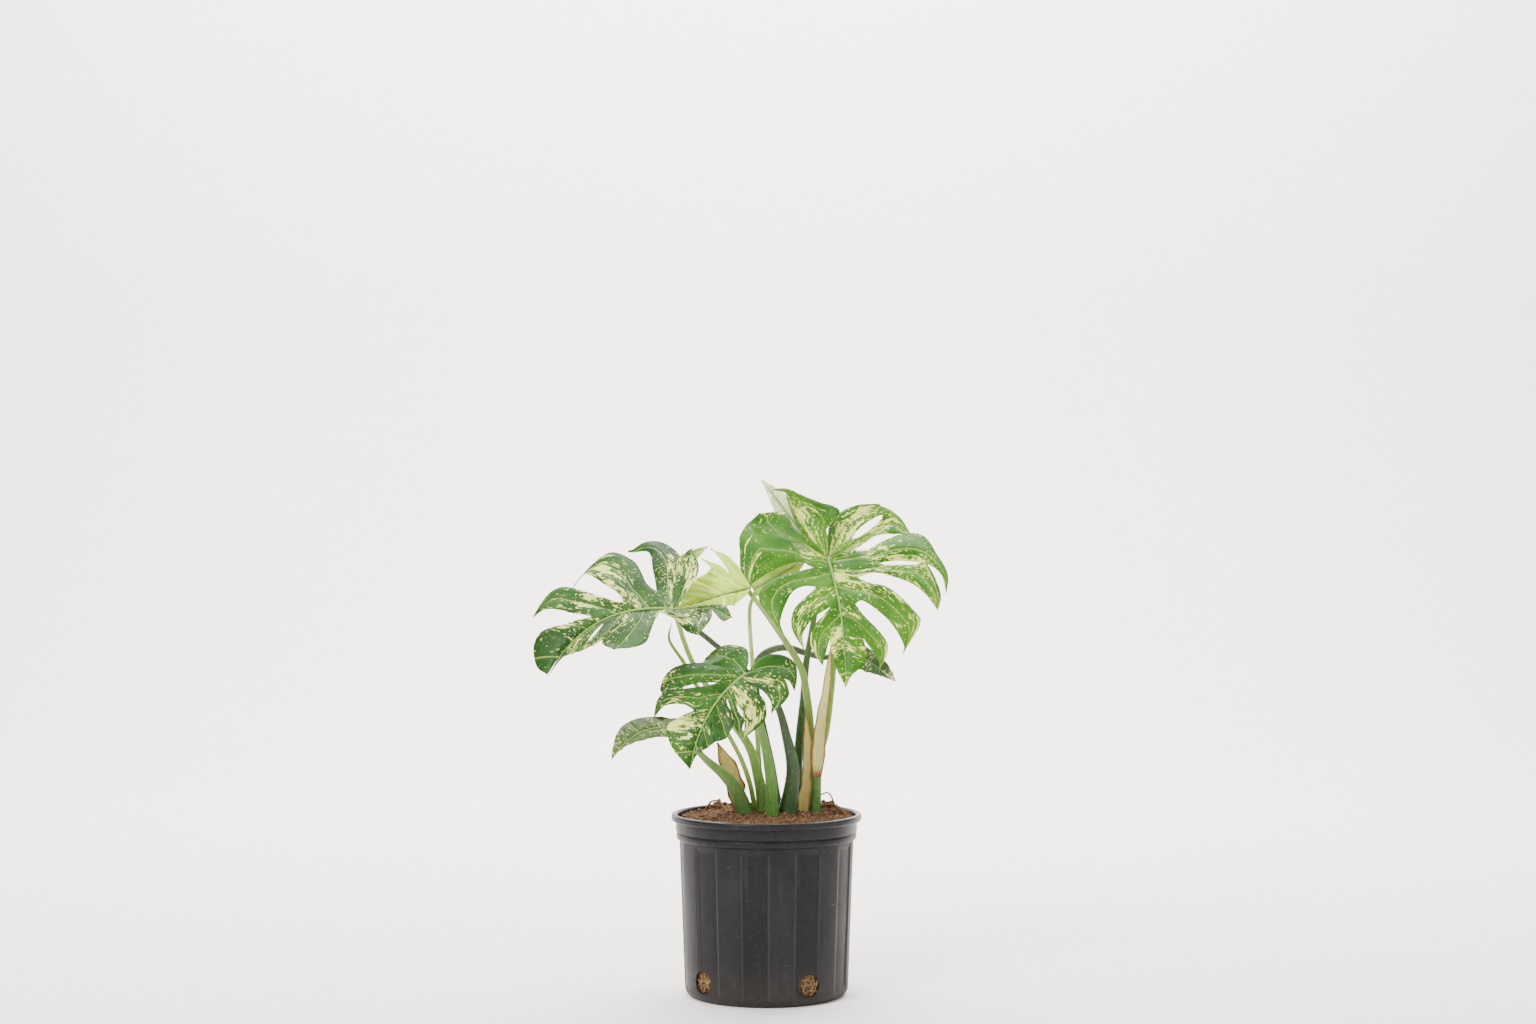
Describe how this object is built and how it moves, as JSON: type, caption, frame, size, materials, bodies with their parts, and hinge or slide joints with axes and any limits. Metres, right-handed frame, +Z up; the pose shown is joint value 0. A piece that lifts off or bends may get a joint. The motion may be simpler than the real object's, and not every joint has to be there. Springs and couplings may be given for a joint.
{
  "type": "potted monstera plant",
  "caption": "Variegated monstera with large split leaves on arching stalks, growing in a round fluted black plastic nursery pot.",
  "frame": {"origin": "centre of the pot's flat underside, on the surface that it stands on", "axes": "+Z up, along the pot's axis; -Y the side that the leaf blades face; +X to the right of someone who looks at that side"},
  "size_m": [0.5507, 0.2674, 0.6886],
  "materials": {
    "black_plastic": "satin",
    "potting_mix": "matte",
    "dark_green_leaf": "satin",
    "bright_green_leaf": "satin",
    "lime_leaf": "satin",
    "pale_leaf": "satin",
    "olive_leaf": "satin",
    "dark_stalk": "satin",
    "green_stalk": "satin",
    "pale_stalk": "satin",
    "cream_sheath": "matte",
    "tan_sheath": "matte"
  },
  "bodies": {
    "root": {"nursery_pot": "black_plastic", "potting_mix": "potting_mix", "leaf_right": "bright_green_leaf", "leaf_left": "dark_green_leaf", "leaf_centre": "dark_green_leaf", "leaf_lime": "lime_leaf", "leaf_lime_band": "lime_leaf", "leaf_young_left": "lime_leaf", "leaf_low_left": "olive_leaf", "leaf_back_right": "olive_leaf", "leaf_top_back": "pale_leaf", "stalk_left": "dark_stalk", "stalk_back_right": "dark_stalk", "stalk_centre": "green_stalk", "stalk_right": "green_stalk", "stalk_lime": "green_stalk", "stalk_top_back": "green_stalk", "stalk_low_left": "green_stalk", "stalk_lime_band": "pale_stalk", "stalk_young_left": "pale_stalk", "sheath_young": "pale_stalk", "sheath_right": "cream_sheath", "sheath_old": "tan_sheath", "sheath_low_left": "tan_sheath"}
  },
  "joints": []
}
